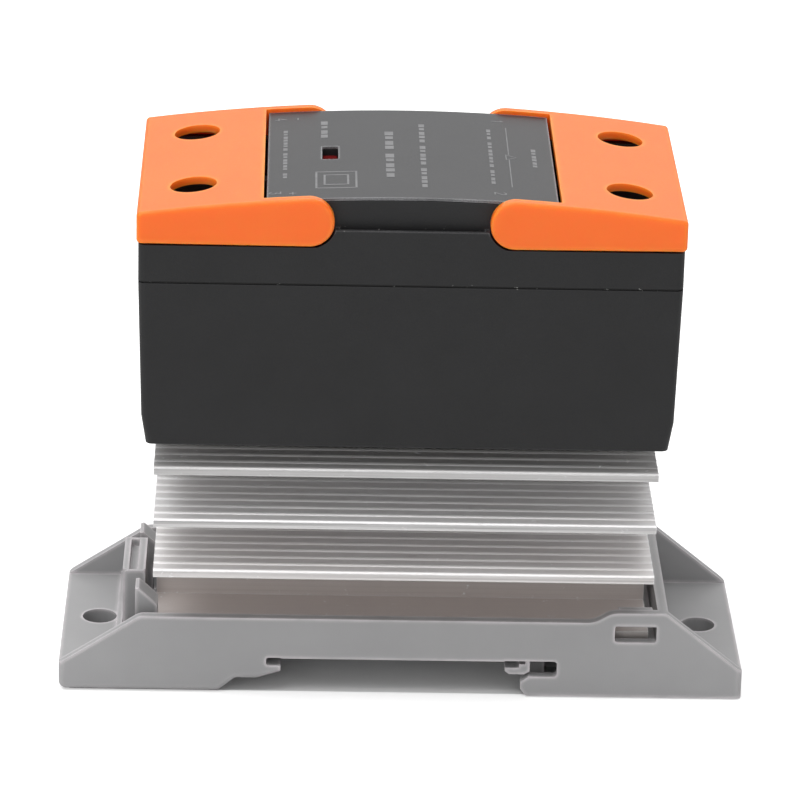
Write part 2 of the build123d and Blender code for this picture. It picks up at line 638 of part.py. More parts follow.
terminal_cover(-1, "control_terminal_cover")
terminal_cover(1, "output_terminal_cover")

# ------------------------------------------------------------- terminal hardware
BUSBAR_TOP = SHELF_TOP + BUSBAR_THICK
CLAMP_LOW = BUSBAR_TOP + CLAMP_GAP
HEAD_LOW = CLAMP_LOW + CLAMP_THICK
BUSBAR_END = 34.2
BUSBAR_WIDTH = 9.5
# terminals 1 and 2 switch the load, 3 and 4 take the control signal
TERMINALS = {1: (1, 1), 2: (1, -1), 3: (-1, -1), 4: (-1, 1)}


def busbar(number, name, riser_low, foot_inner):
    """Terminal strip: flat under the screw, riser down, and a foot when it has one."""
    end, side = TERMINALS[number]
    with BuildPart() as strip:
        half_width = BUSBAR_WIDTH / 2
        flat_x = span(end, RISER_X[0], BUSBAR_END)
        flat_y = span(side, TERMINAL_Y - half_width, TERMINAL_Y + half_width)
        riser_y = span(side, *RISER_Y)
        block(flat_x, flat_y, (SHELF_TOP, BUSBAR_TOP))
        block(span(end, *RISER_X), riser_y, (riser_low, BUSBAR_TOP))
        if foot_inner is not None:
            foot_x = span(end, foot_inner, RISER_X[1])
            block(foot_x, riser_y, (riser_low, riser_low + BUSBAR_THICK))
        with Locations((end * TERMINAL_X, side * TERMINAL_Y, BUSBAR_TOP)):
            Hole(SCREW_RADIUS + 0.2, depth=BUSBAR_THICK)
    strip.part.label = name
    export_step(strip.part, f"parts/{name}.step")


busbar(1, "output_busbar_1", TRACK_TOP, 16.0)
busbar(2, "output_busbar_2", TRACK_TOP, 16.0)
busbar(3, "control_busbar_3", BOARD_TOP, None)
busbar(4, "control_busbar_4", BOARD_TOP, None)

with BuildPart() as terminal_nuts:
    with BuildSketch(Plane.XY.offset(NUT_LOW)):
        with GridLocations(2 * TERMINAL_X, 2 * TERMINAL_Y, 2, 2):
            Rectangle(NUT_SIZE, NUT_SIZE)
            Circle(SCREW_RADIUS + THREAD_CLEARANCE, mode=Mode.SUBTRACT)
    extrude(amount=NUT_THICK)

terminal_nuts.part.label = "terminal_nuts"
export_step(terminal_nuts.part, "parts/terminal_nuts.step")

for number, (end, side) in TERMINALS.items():
    centre = (end * TERMINAL_X, side * TERMINAL_Y)

    with BuildPart() as clamp_plate:
        with BuildSketch(Plane.XY.offset(CLAMP_LOW)):
            with Locations(centre):
                RectangleRounded(8.6, 8.6, 0.6)
                Circle(SCREW_RADIUS + 0.1, mode=Mode.SUBTRACT)
        extrude(amount=CLAMP_THICK)
    clamp_plate.part.label = f"clamp_plate_{number}"
    export_step(clamp_plate.part, f"parts/clamp_plate_{number}.step")

    with BuildPart() as terminal_screw:
        with BuildSketch(Plane.XY.offset(HEAD_LOW)):
            with Locations(centre):
                Circle(HEAD_RADIUS)
        extrude(amount=HEAD_HEIGHT)
        fillet(terminal_screw.edges().group_by(Axis.Z)[-1], radius=0.9)
        # cross recess
        with BuildSketch(Plane.XY.offset(HEAD_LOW + HEAD_HEIGHT)):
            with Locations(centre):
                Rectangle(4.2, 0.9)
                Rectangle(0.9, 4.2)
        extrude(amount=-1.5, taper=8, mode=Mode.SUBTRACT)
        with BuildSketch(Plane.XY.offset(HEAD_LOW)):
            with Locations(centre):
                Circle(SCREW_RADIUS)
        extrude(amount=-SCREW_LENGTH)
        chamfer(terminal_screw.edges().group_by(Axis.Z)[0], length=0.4)
    terminal_screw.part.label = f"terminal_screw_{number}"
    export_step(terminal_screw.part, f"parts/terminal_screw_{number}.step")

# ------------------------------------------------------------------ electronics
PILLARS = [(-22.0, -13.8), (-22.0, 13.8), (10.0, -14.0), (10.0, 14.0)]
PILLAR_RADIUS = 2.0
BOARD_SCREW_RADIUS = 1.2

with BuildPart() as circuit_board:
    with BuildSketch(Plane.XY.offset(BOARD_LOW)):
        with Locations(((BOARD_LEFT + BOARD_RIGHT) / 2, 0)):
            RectangleRounded(BOARD_RIGHT - BOARD_LEFT, 34.0, 1.0)
        with Locations(*PILLARS):
            Circle(BOARD_SCREW_RADIUS + 0.2, mode=Mode.SUBTRACT)
    extrude(amount=BOARD_TOP - BOARD_LOW)

circuit_board.part.label = "circuit_board"
export_step(circuit_board.part, "parts/circuit_board.step")

with BuildPart() as board_pillars:
    with BuildSketch(Plane.XY.offset(PLATE_TOP)):
        with Locations(*PILLARS):
            RegularPolygon(PILLAR_RADIUS + 0.3, 6)
            Circle(BOARD_SCREW_RADIUS + THREAD_CLEARANCE, mode=Mode.SUBTRACT)
    extrude(amount=BOARD_LOW - PLATE_TOP)

board_pillars.part.label = "board_pillars"
export_step(board_pillars.part, "parts/board_pillars.step")

with BuildPart() as board_screws:
    with BuildSketch(Plane.XY.offset(BOARD_TOP)):
        with Locations(*PILLARS):
            Circle(2.2)
    extrude(amount=1.4)
    fillet(board_screws.edges().group_by(Axis.Z)[-1], radius=0.5)
    with BuildSketch(Plane.XY.offset(BOARD_TOP)):
        with Locations(*PILLARS):
            Circle(BOARD_SCREW_RADIUS)
    extrude(amount=-6.0)

board_screws.part.label = "board_screws"
export_step(board_screws.part, "parts/board_screws.step")

COUPLER_X = -11.6
LEG_PITCH = 2.54

with BuildPart() as optocoupler:
    # moulded body standing on two rows of three legs
    block((COUPLER_X - 4.4, COUPLER_X + 4.4), (-10.2, -3.8), (BOARD_TOP + 0.8, BOARD_TOP + 4.2))
    for leg in range(3):
        leg_x = COUPLER_X + (leg - 1) * LEG_PITCH
        for leg_y in (-10.5, -3.5):
            block((leg_x - 0.3, leg_x + 0.3), (leg_y - 0.35, leg_y + 0.35), (BOARD_TOP, BOARD_TOP + 2.2))

optocoupler.part.label = "optocoupler"
export_step(optocoupler.part, "parts/optocoupler.step")

with BuildPart() as snubber_capacitor:
    block((-1.0, 12.0), (3.5, 10.0), (BOARD_TOP + 0.3, BOARD_TOP + 11.3))
    fillet(snubber_capacitor.edges().filter_by(Axis.Z), radius=0.6)
    for leg_x in (0.5, 10.5):
        block((leg_x - 0.35, leg_x + 0.35), (6.4, 7.1), (BOARD_TOP, BOARD_TOP + 0.5))

snubber_capacitor.part.label = "snubber_capacitor"
export_step(snubber_capacitor.part, "parts/snubber_capacitor.step")

# centre x, centre y, body radius and body length: one snubber, then three input resistors
RESISTORS = [(5.0, -8.0, 1.7, 9.0)]
RESISTORS += [(-19.2, 3.2 * row, 0.95, 4.6) for row in (-1, 0, 1)]

with BuildPart() as resistors:
    for centre_x, centre_y, radius, length in RESISTORS:
        axis_z = BOARD_TOP + radius + 0.15
        with BuildSketch(Plane.YZ.offset(centre_x - length / 2)):
            with Locations((centre_y, axis_z)):
                Circle(radius)
        extrude(amount=length)
        for lead_end in (-1, 1):
            lead_x = centre_x + lead_end * (length / 2 + 0.9)
            lead_y = (centre_y - 0.3, centre_y + 0.3)
            run_x = sorted((lead_x - lead_end * 1.0, lead_x + lead_end * 0.3))
            block(run_x, lead_y, (axis_z - 0.3, axis_z + 0.3))
            block((lead_x - 0.3, lead_x + 0.3), lead_y, (BOARD_TOP, axis_z))

resistors.part.label = "resistors"
export_step(resistors.part, "parts/resistors.step")

with BuildPart() as trigger_triac:
    # round-backed three-leg package
    with BuildSketch(Plane.XY.offset(BOARD_TOP + 2.5)):
        with Locations((-7.0, 7.0)):
            Circle(2.4)
        with Locations((-7.0, 4.4)):
            Rectangle(5.0, 2.6, mode=Mode.SUBTRACT)
    extrude(amount=4.8)
    for leg_x in (-8.3, -7.0, -5.7):
        block((leg_x - 0.25, leg_x + 0.25), (6.7, 7.2), (BOARD_TOP, BOARD_TOP + 2.6))

trigger_triac.part.label = "trigger_triac"
export_step(trigger_triac.part, "parts/trigger_triac.step")

LAMP_RADIUS = 1.5
LAMP_LOW = 65.5
LAMP_DOME = 69.3
GUIDE_FLANGE = (71.5, 72.3)
GUIDE_TOP = 72.95

with BuildPart() as indicator_led:
    # domed body with a collar, on two long legs
    with BuildSketch(Plane.XY.offset(LAMP_LOW)):
        with Locations((LAMP_X, LAMP_Y)):
            Circle(LAMP_RADIUS + 0.4)
    extrude(amount=0.9)
    with BuildSketch(Plane.XY.offset(LAMP_LOW)):
        with Locations((LAMP_X, LAMP_Y)):
            Circle(LAMP_RADIUS)
    extrude(amount=LAMP_DOME - LAMP_LOW)
    with Locations((LAMP_X, LAMP_Y, LAMP_DOME)):
        Sphere(LAMP_RADIUS)
    for leg_y in (LAMP_Y - 0.9, LAMP_Y + 0.9):
        leg_z = (BOARD_TOP, LAMP_LOW + 0.1)
        block((LAMP_X - 0.25, LAMP_X + 0.25), (leg_y - 0.25, leg_y + 0.25), leg_z)

indicator_led.part.label = "indicator_led"
export_step(indicator_led.part, "parts/indicator_led.step")

with BuildPart() as light_guide:
    block((LAMP_X - 2.1, LAMP_X + 2.1), (LAMP_Y - 3.8, LAMP_Y + 3.8), GUIDE_FLANGE)
    stem_x, stem_y = ((low + 0.1, high - 0.1) for low, high in (WINDOW_SPAN_X, WINDOW_SPAN_Y))
    block(stem_x, stem_y, (GUIDE_FLANGE[0], GUIDE_TOP))

light_guide.part.label = "light_guide"
export_step(light_guide.part, "parts/light_guide.step")
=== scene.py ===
"""Solid state relay on a ribbed heat sink and a DIN-rail base: looks, light and camera."""

import math

import bmesh
import bpy
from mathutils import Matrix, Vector


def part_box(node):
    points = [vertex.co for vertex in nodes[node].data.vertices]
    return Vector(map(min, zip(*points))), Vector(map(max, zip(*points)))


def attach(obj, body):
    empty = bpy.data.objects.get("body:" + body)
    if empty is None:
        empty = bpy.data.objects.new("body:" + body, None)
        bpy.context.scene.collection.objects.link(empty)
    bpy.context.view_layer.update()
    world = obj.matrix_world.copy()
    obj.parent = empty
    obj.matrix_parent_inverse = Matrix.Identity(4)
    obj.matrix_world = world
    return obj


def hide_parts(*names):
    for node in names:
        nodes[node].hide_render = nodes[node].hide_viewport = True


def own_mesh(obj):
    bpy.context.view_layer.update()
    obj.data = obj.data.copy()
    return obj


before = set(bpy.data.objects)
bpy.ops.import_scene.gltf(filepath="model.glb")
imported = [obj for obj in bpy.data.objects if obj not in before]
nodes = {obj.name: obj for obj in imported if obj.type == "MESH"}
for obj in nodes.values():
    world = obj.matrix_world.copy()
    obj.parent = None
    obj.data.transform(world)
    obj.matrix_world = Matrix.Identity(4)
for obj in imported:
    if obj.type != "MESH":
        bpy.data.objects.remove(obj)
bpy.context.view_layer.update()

# ---------------------------------------------------------------- table and light
# The relay stands on a plain white table under one large soft box, with a second
# soft box behind it for the sheen on the flat tops and a weak one at the front.
def add(tree, kind, inputs=None, **settings):
    """One shader node, with its settings, and a value or a link for each input."""
    made = tree.nodes.new(kind)
    for name, value in settings.items():
        setattr(made, name, value)
    for name, value in (inputs or {}).items():
        if isinstance(value, bpy.types.NodeSocket):
            tree.links.new(value, made.inputs[name])
        else:
            made.inputs[name].default_value = value
    return made


def soft_box(name, place, target, size, watts):
    """A square studio light that faces its target."""
    lamp = bpy.data.lights.new(name, "AREA")
    lamp.energy = watts
    lamp.size = size
    holder = bpy.data.objects.new(name, lamp)
    holder.location = place
    holder.rotation_euler = (Vector(target) - Vector(place)).to_track_quat("-Z", "Y").to_euler()
    bpy.context.scene.collection.objects.link(holder)


RELAY_MIDDLE = (0, 0, 0.04)
soft_box("soft_box_top", (-0.25, -0.1, 1.2), RELAY_MIDDLE, 1.3, 14.6)
soft_box("soft_box_back", (0.1, 1.5, 0.75), RELAY_MIDDLE, 1.2, 3.5)
soft_box("soft_box_front", (-0.5, -1.5, 0.5), RELAY_MIDDLE, 0.9, 2.9)

sky = bpy.data.worlds.new("studio_air")
sky.use_nodes = True
sky.node_tree.nodes["Background"].inputs["Color"].default_value = (1.0, 1.0, 1.0, 1)
sky.node_tree.nodes["Background"].inputs["Strength"].default_value = 0.55
bpy.context.scene.world = sky
bpy.context.scene.view_settings.view_transform = "Standard"

TABLE_HALF = 4.0
TABLE_DROP = 0.0002
table_mesh = bmesh.new()
bmesh.ops.create_grid(table_mesh, x_segments=1, y_segments=1, size=TABLE_HALF)
table_data = bpy.data.meshes.new("table_top")
table_mesh.to_mesh(table_data)
table_top = bpy.data.objects.new("table_top", table_data)
table_top.location.z = -TABLE_DROP
bpy.context.scene.collection.objects.link(table_top)
table_paint = bpy.data.materials.new("white_table")
table_paint.use_nodes = True
table_shader = table_paint.node_tree.nodes["Principled BSDF"]
table_shader.inputs["Base Color"].default_value = (0.82, 0.82, 0.82, 1)
table_shader.inputs["Roughness"].default_value = 0.9
table_shader.inputs["Specular IOR Level"].default_value = 0.1
table_shader.inputs["Emission Color"].default_value = (1, 1, 1, 1)
# seen straight on, the open table is lit up to plain white, without lighting the
# relay; the part of it under the base stays dark
SHADED_HALF_LENGTH = 0.0465
SHADED_HALF_DEPTH = 0.0158
TABLE_GLOW = 0.42
table_tree = table_paint.node_tree


def maths(tree, operation, first, second=0.0, clamp=False):
    """The output of one Math node."""
    made = add(tree, "ShaderNodeMath", {0: first, 1: second}, operation=operation, use_clamp=clamp)
    return made.outputs[0]


spot = add(table_tree, "ShaderNodeSeparateXYZ", {
    "Vector": add(table_tree, "ShaderNodeTexCoord").outputs["Object"]}).outputs
past_end = maths(table_tree, "GREATER_THAN", maths(table_tree, "ABSOLUTE", spot["X"]), SHADED_HALF_LENGTH)
past_side = maths(table_tree, "GREATER_THAN", maths(table_tree, "ABSOLUTE", spot["Y"]), SHADED_HALF_DEPTH)
seen = add(table_tree, "ShaderNodeLightPath").outputs["Is Camera Ray"]
seen_open = maths(table_tree, "MULTIPLY", seen, maths(table_tree, "MAXIMUM", past_end, past_side))
glow = maths(table_tree, "MULTIPLY", seen_open, TABLE_GLOW)
table_tree.links.new(glow, table_shader.inputs["Emission Strength"])
table_data.materials.append(table_paint)

# -------------------------------------------------------------------------- camera
# A long lens a little to the left of the relay's middle and well above it, tilted
# down by 21 degrees and rolled by about one degree.
eye = bpy.data.cameras.new("eye")
eye.sensor_width = 36.0
eye.lens = 217.66
eye.clip_start = 0.05
eye.clip_end = 20
eye_holder = bpy.data.objects.new("eye", eye)
eye_holder.location = (-0.016374, -0.635162, 0.285194)
eye_holder.rotation_euler = [math.radians(turn) for turn in (68.7225, -1.3051, -0.9116)]
bpy.context.scene.collection.objects.link(eye_holder)
bpy.context.scene.camera = eye_holder


# ------------------------------------------------------------------------ DIN base
# The base is one injection moulding in light grey engineering plastic, with a very
# fine eroded skin and rounded edges; its edges carry a paler painted highlight.
def group(name, inputs, outputs):
    """A shader node group with float inputs; outputs gives each one's socket type."""
    tree = bpy.data.node_groups.new(name, "ShaderNodeTree")
    for label, value in inputs.items():
        socket = tree.interface.new_socket(label, in_out="INPUT", socket_type="NodeSocketFloat")
        socket.default_value = value
    for label, kind in outputs.items():
        tree.interface.new_socket(label, in_out="OUTPUT", socket_type=kind)
    return tree, add(tree, "NodeGroupInput").outputs, add(tree, "NodeGroupOutput").inputs


skin, skin_in, skin_out = group(
    "moulded_skin",
    {"Grain Size": 4000.0, "Grain Depth": 0.00002, "Cloud Size": 90.0},
    {"Cloud": "NodeSocketFloat", "Grain": "NodeSocketFloat", "Normal": "NodeSocketVector"},
)
place = add(skin, "ShaderNodeTexCoord").outputs["Object"]
cloud = add(skin, "ShaderNodeTexNoise", {
    "Vector": place, "Scale": skin_in["Cloud Size"], "Detail": 3.0, "Roughness": 0.6})
grain = add(skin, "ShaderNodeTexNoise", {
    "Vector": place, "Scale": skin_in["Grain Size"], "Detail": 2.0, "Roughness": 0.7})
skin_bump = add(skin, "ShaderNodeBump", {
    "Height": grain.outputs["Fac"], "Distance": skin_in["Grain Depth"], "Strength": 1.0})
skin.links.new(cloud.outputs["Fac"], skin_out["Cloud"])
skin.links.new(grain.outputs["Fac"], skin_out["Grain"])
skin.links.new(skin_bump.outputs["Normal"], skin_out["Normal"])

# painted highlight: a paler colour painted in patches along the edges
edge_light, edge_light_in, edge_light_out = group(
    "painted_edge_highlight", {"Width": 0.0004, "Strength": 1.0, "Patchiness": 250.0}, {"Mask": "NodeSocketFloat"})
rounded = add(edge_light, "ShaderNodeBevel", {"Radius": edge_light_in["Width"]}, samples=4).outputs["Normal"]
flat = add(edge_light, "ShaderNodeNewGeometry").outputs["True Normal"]
agreement = add(edge_light, "ShaderNodeVectorMath", {0: rounded, 1: flat}, operation="DOT_PRODUCT").outputs["Value"]
EDGE_GAIN = 5.0
near_edge = maths(edge_light, "MULTIPLY", maths(edge_light, "SUBTRACT", 1.0, agreement), EDGE_GAIN, clamp=True)
patches = add(edge_light, "ShaderNodeTexNoise", {
    "Vector": add(edge_light, "ShaderNodeTexCoord").outputs["Object"], "Scale": edge_light_in["Patchiness"],
    "Detail": 3.0}).outputs["Fac"]
PATCH_GAIN = 1.6
patches = maths(edge_light, "MULTIPLY", patches, PATCH_GAIN, clamp=True)
edge_light.links.new(
    maths(edge_light, "MULTIPLY", maths(edge_light, "MULTIPLY", near_edge, patches), edge_light_in["Strength"], clamp=True),
    edge_light_out["Mask"],
)


def place_group(tree, source, **inputs):
    """A shared group placed in a material with its own values."""
    values = {label.replace("_", " "): value for label, value in inputs.items()}
    made = add(tree, "ShaderNodeGroup", node_tree=source)
    for label, value in values.items():
        made.inputs[label].default_value = value
    return made.outputs


def blend_colours(tree, factor, low, high):
    """Colour from low to high as factor goes from 0 to 1."""
    made = add(tree, "ShaderNodeMix", {"Factor": factor}, data_type="RGBA")
    for socket, value in ((made.inputs[6], low), (made.inputs[7], high)):
        if isinstance(value, bpy.types.NodeSocket):
            tree.links.new(value, socket)
        else:
            socket.default_value = (*value, 1)
    return made.outputs[2]


def ranged(tree, value, low, high):
    """A 0 to 1 value spread over low to high."""
    return add(tree, "ShaderNodeMapRange", {"Value": value, "To Min": low, "To Max": high}).outputs[0]


def finish_of(name, roughness, **plain):
    """A material, its tree and its Principled shader with plain values set on it."""
    made = bpy.data.materials.new(name)
    made.use_nodes = True
    shader = made.node_tree.nodes["Principled BSDF"]
    shader.inputs["Roughness"].default_value = roughness
    for label, value in plain.items():
        shader.inputs[label.replace("_", " ")].default_value = value
    return made, made.node_tree, shader


def feed(tree, shader, **sockets):
    """Links the named inputs of the shader."""
    for label, socket in sockets.items():
        tree.links.new(socket, shader.inputs[label.replace("_", " ")])


def moulded_plastic(
        name, dark, light, edge_highlight, roughness, grain_depth=0.00002, highlight_strength=0.5, highlight_width=0.0004, **plain):
    """Injection moulded plastic: cloudy tint, fine eroded skin, a painted highlight along the edges."""
    made, tree, shader = finish_of(name, roughness, **plain)
    surface = place_group(tree, skin, Grain_Depth=grain_depth)
    # mask for the painted edge highlight
    edge = place_group(tree, edge_light, Strength=highlight_strength, Width=highlight_width)["Mask"]
    tint = blend_colours(tree, surface["Cloud"], dark, light)
    feed(
        tree, shader,
        Base_Color=blend_colours(tree, edge, tint, edge_highlight),
        Roughness=ranged(tree, surface["Grain"], roughness - 0.06, roughness + 0.08),
        Normal=surface["Normal"],
    )
    return made


def dress(material, *names):
    """Puts a material on CAD nodes."""
    for name in names:
        for place_in_list in nodes[name].material_slots:
            place_in_list.material = material


WELD_REACH = 0.000002
FLAT_DEGREES = 0.5


def soften(name, width, segments=2, angle=32):
    """Rounds the sharp moulded or cut edges of a CAD node with modifiers."""
    piece = nodes[name]
    weld = piece.modifiers.new("weld", "WELD")
    weld.merge_threshold = WELD_REACH
    planar = piece.modifiers.new("planar", "DECIMATE")
    planar.decimate_type = "DISSOLVE"
    planar.angle_limit = math.radians(FLAT_DEGREES)
    edge = piece.modifiers.new("edge", "BEVEL")
    edge.width = width
    edge.segments = segments
    edge.limit_method = "ANGLE"
    edge.angle_limit = math.radians(angle)
    edge.miter_outer = "MITER_ARC"
    shading = piece.modifiers.new("shading", "WEIGHTED_NORMAL")
    shading.keep_sharp = False
    shading.weight = 100


# the third colour is a paler painted highlight along the edges
base_grey = moulded_plastic(
    "base_grey", (0.30, 0.298, 0.302), (0.35, 0.348, 0.352), (0.66, 0.62, 0.64), 0.5,
    grain_depth=0.000012, highlight_strength=1.1, highlight_width=0.0009)
dress(base_grey, "din_base", "din_clip")
soften("din_base", 0.00018)
soften("din_clip", 0.00012)

# ------------------------------------------------------------- spring of the catch
# A small compression spring in drawn stainless wire pushes the rail catch home. Its
# end turns are wound close.
SPRING_WIRE = 0.00025
SPRING_TURNS = 9
SPRING_STEPS = 26
SPRING_RING = 8
CLOSE_WOUND = 0.9
spring_low, spring_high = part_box("din_clip_spring")
spring_radius = (spring_high[1] - spring_low[1]) / 2 - SPRING_WIRE
spring_y = (spring_high[1] + spring_low[1]) / 2
spring_z = (spring_high[2] + spring_low[2]) / 2
spring_run = spring_high[0] - spring_low[0] - 2 * SPRING_WIRE
spring_mesh = bmesh.new()
spring_rings = []
for step in range(SPRING_TURNS * SPRING_STEPS + 1):
    turn = 2 * math.pi * step / SPRING_STEPS
    share = step / (SPRING_TURNS * SPRING_STEPS)
    # the pitch is small over the first and last turn, and even between them
    eased = share - CLOSE_WOUND * math.sin(2 * math.pi * share) / (2 * math.pi)
    outward = Vector((0, math.cos(turn), math.sin(turn)))
    centre = Vector((spring_low[0] + SPRING_WIRE + spring_run * eased, spring_y, spring_z))
    centre += outward * spring_radius
    ring = []
    for corner in range(SPRING_RING):
        angle = 2 * math.pi * corner / SPRING_RING
        offset = outward * math.cos(angle) + Vector((1, 0, 0)) * math.sin(angle)
        ring.append(spring_mesh.verts.new(centre + offset * SPRING_WIRE))
    spring_rings.append(ring)
for first, second in zip(spring_rings, spring_rings[1:]):
    for corner in range(SPRING_RING):
        after = (corner + 1) % SPRING_RING
        spring_mesh.faces.new((first[corner], first[after], second[after], second[corner])).smooth = True
spring_mesh.faces.new(spring_rings[0][::-1])
spring_mesh.faces.new(spring_rings[-1])
bmesh.ops.recalc_face_normals(spring_mesh, faces=spring_mesh.faces)
spring_data = bpy.data.meshes.new("catch_spring")
spring_mesh.to_mesh(spring_data)
catch_spring = bpy.data.objects.new("catch_spring", spring_data)
bpy.context.scene.collection.objects.link(catch_spring)

wire_steel, wire_tree, wire_shader = finish_of("spring_wire", 0.28, Metallic=1.0)
wire_skin = place_group(wire_tree, skin, Grain_Size=9000.0, Grain_Depth=0.000004)
feed(
    wire_tree, wire_shader,
    Base_Color=blend_colours(wire_tree, wire_skin["Cloud"], (0.42, 0.42, 0.43), (0.62, 0.61, 0.6)),
    Normal=wire_skin["Normal"],
)
spring_data.materials.append(wire_steel)
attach(catch_spring, "base")
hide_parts("din_clip_spring")
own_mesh(catch_spring)

# --------------------------------------------------------------------- heat sink
# One length of bare extruded aluminium: a foot, a web, three ribbed fins a side and
# a top plate. The die leaves fine lines along its length, and the ends are sawn.
lines, lines_in, lines_out = group(
    "die_lines",
    {"Fine": 1.0, "Depth": 0.000008},
    {"Lines": "NodeSocketFloat", "Cloud": "NodeSocketFloat", "Normal": "NodeSocketVector"},
)
line_place = add(lines, "ShaderNodeTexCoord").outputs["Object"]
stretched = add(lines, "ShaderNodeMapping", {"Vector": line_place, "Scale": (12.0, 2600.0, 2600.0)})
drawn = add(lines, "ShaderNodeTexNoise", {
    "Vector": stretched.outputs[0], "Scale": lines_in["Fine"], "Detail": 3.0, "Roughness": 0.65})
smear = add(lines, "ShaderNodeMapping", {"Vector": line_place, "Scale": (40.0, 160.0, 160.0)})
oxide = add(lines, "ShaderNodeTexNoise", {
    "Vector": smear.outputs[0], "Scale": 1.0, "Detail": 5.0, "Roughness": 0.6})
line_bump = add(lines, "ShaderNodeBump", {
    "Height": drawn.outputs["Fac"], "Distance": lines_in["Depth"], "Strength": 1.0})
lines.links.new(drawn.outputs["Fac"], lines_out["Lines"])
lines.links.new(oxide.outputs["Fac"], lines_out["Cloud"])
lines.links.new(line_bump.outputs["Normal"], lines_out["Normal"])

extruded, extruded_tree, extruded_shader = finish_of("extruded_aluminium", 0.45, Metallic=0.6)
drawn_face = place_group(extruded_tree, lines)
# painted highlight along the edges of the extrusion
fin_edge_highlight = place_group(extruded_tree, edge_light, Width=0.0003, Strength=0.8)["Mask"]
face_colour = blend_colours(extruded_tree, drawn_face["Cloud"], (0.68, 0.65, 0.64), (0.94, 0.94, 0.945))
streaked = blend_colours(
    extruded_tree, ranged(extruded_tree, drawn_face["Lines"], 0.0, 0.4), face_colour, (0.93, 0.93, 0.94))
# sawn ends: only the faces square to the length, with coarse saw lines
SQUARE_ON = 0.9
sink_place = add(extruded_tree, "ShaderNodeTexCoord").outputs["Object"]
face_way = add(extruded_tree, "ShaderNodeSeparateXYZ", {
    "Vector": add(extruded_tree, "ShaderNodeNewGeometry").outputs["True Normal"]}).outputs
sawn_end = maths(
    extruded_tree, "GREATER_THAN", maths(extruded_tree, "ABSOLUTE", face_way["X"]), SQUARE_ON)
saw_place = add(extruded_tree, "ShaderNodeMapping", {
    "Vector": sink_place, "Scale": (200.0, 9000.0, 700.0)})
saw_lines = add(extruded_tree, "ShaderNodeTexNoise", {
    "Vector": saw_place.outputs[0], "Scale": 1.0, "Detail": 3.0}).outputs["Fac"]
saw_bump = add(extruded_tree, "ShaderNodeBump", {
    "Height": maths(extruded_tree, "MULTIPLY", saw_lines, sawn_end), "Distance": 0.00004,
    "Normal": drawn_face["Normal"]})
# nicks from handling, bright where the oxide is broken
NICK_RARITY = 0.655
NICK_GAIN = 14.0
nick_noise = add(extruded_tree, "ShaderNodeTexNoise", {
    "Vector": sink_place, "Scale": 700.0, "Detail": 4.0, "Roughness": 0.7}).outputs["Fac"]
nicks = maths(
    extruded_tree, "MULTIPLY", maths(extruded_tree, "SUBTRACT", nick_noise, NICK_RARITY), NICK_GAIN,
    clamp=True)
nick_bump = add(extruded_tree, "ShaderNodeBump", {
    "Height": nicks, "Distance": 0.00005, "Normal": saw_bump.outputs["Normal"]}, invert=True)
# the nicks are real wear; the edge mask adds a painted highlight
nicks_and_edge_highlight = maths(extruded_tree, "MAXIMUM", fin_edge_highlight, nicks)
# painted shade: the front faces of the fins are painted darker, and the foot is painted darker and browner
FOOT_SHADE_TOP = 0.0215
FOOT_SHADE_FADE = 0.006
BAND_START = 0.36
BAND_GAIN = 5.0
FOOT_SHADE_SHARE = 0.85
TOP_FIN_LOW = 0.0335
TOP_FIN_SHADE = 0.55
# painted shade on the faces that face the front
fin_front_shade = maths(extruded_tree, "LESS_THAN", face_way["Y"], -SQUARE_ON)
sink_height = add(extruded_tree, "ShaderNodeSeparateXYZ", {"Vector": sink_place}).outputs["Z"]
# painted shade: the foot is painted darker and browner towards the bottom
foot_shade = maths(
    extruded_tree, "DIVIDE", maths(extruded_tree, "SUBTRACT", FOOT_SHADE_TOP, sink_height),
    FOOT_SHADE_FADE, clamp=True)
front_bands = maths(
    extruded_tree, "MULTIPLY", maths(extruded_tree, "SUBTRACT", drawn_face["Lines"], BAND_START),
    BAND_GAIN, clamp=True)
front_shade_share = maths(extruded_tree, "MULTIPLY", fin_front_shade, ranged(extruded_tree, front_bands, 1.0, 0.35))
shaded_colour = blend_colours(extruded_tree, front_shade_share, streaked, (0.34, 0.335, 0.335))
# painted shade: the top fin, close under the case, is painted darkest
top_fin_shade_mask = maths(extruded_tree, "GREATER_THAN", sink_height, TOP_FIN_LOW)
top_fin_shade = maths(extruded_tree, "MULTIPLY", top_fin_shade_mask, TOP_FIN_SHADE)
shaded_colour = blend_colours(extruded_tree, top_fin_shade, shaded_colour, (0.36, 0.355, 0.35))
# painted shade on the foot
foot_shade_share = maths(extruded_tree, "MULTIPLY", foot_shade, FOOT_SHADE_SHARE)
foot_shaded_colour = blend_colours(extruded_tree, foot_shade_share, shaded_colour, (0.70, 0.645, 0.62))
feed(
    extruded_tree, extruded_shader,
    Base_Color=blend_colours(extruded_tree, nicks_and_edge_highlight, foot_shaded_colour, (0.96, 0.96, 0.97)),
    Roughness=ranged(extruded_tree, drawn_face["Lines"], 0.38, 0.6),
    Normal=nick_bump.outputs["Normal"],
)
dress(extruded, "heatsink")

# ------------------------------------------------------------ base of the module
# A nickel-plated copper plate on a soft grey thermal pad carries the alumina tile,
# its copper tracks, two thyristor chips and the straps between them.
pad_grey, pad_tree, pad_shader = finish_of("thermal_pad_grey", 0.8)
pad_skin = place_group(pad_tree, skin, Grain_Size=1800.0, Grain_Depth=0.00006)
feed(
    pad_tree, pad_shader,
    Base_Color=blend_colours(pad_tree, pad_skin["Grain"], (0.36, 0.38, 0.42), (0.5, 0.52, 0.56)),
    Normal=pad_skin["Normal"],
)
dress(pad_grey, "thermal_pad")


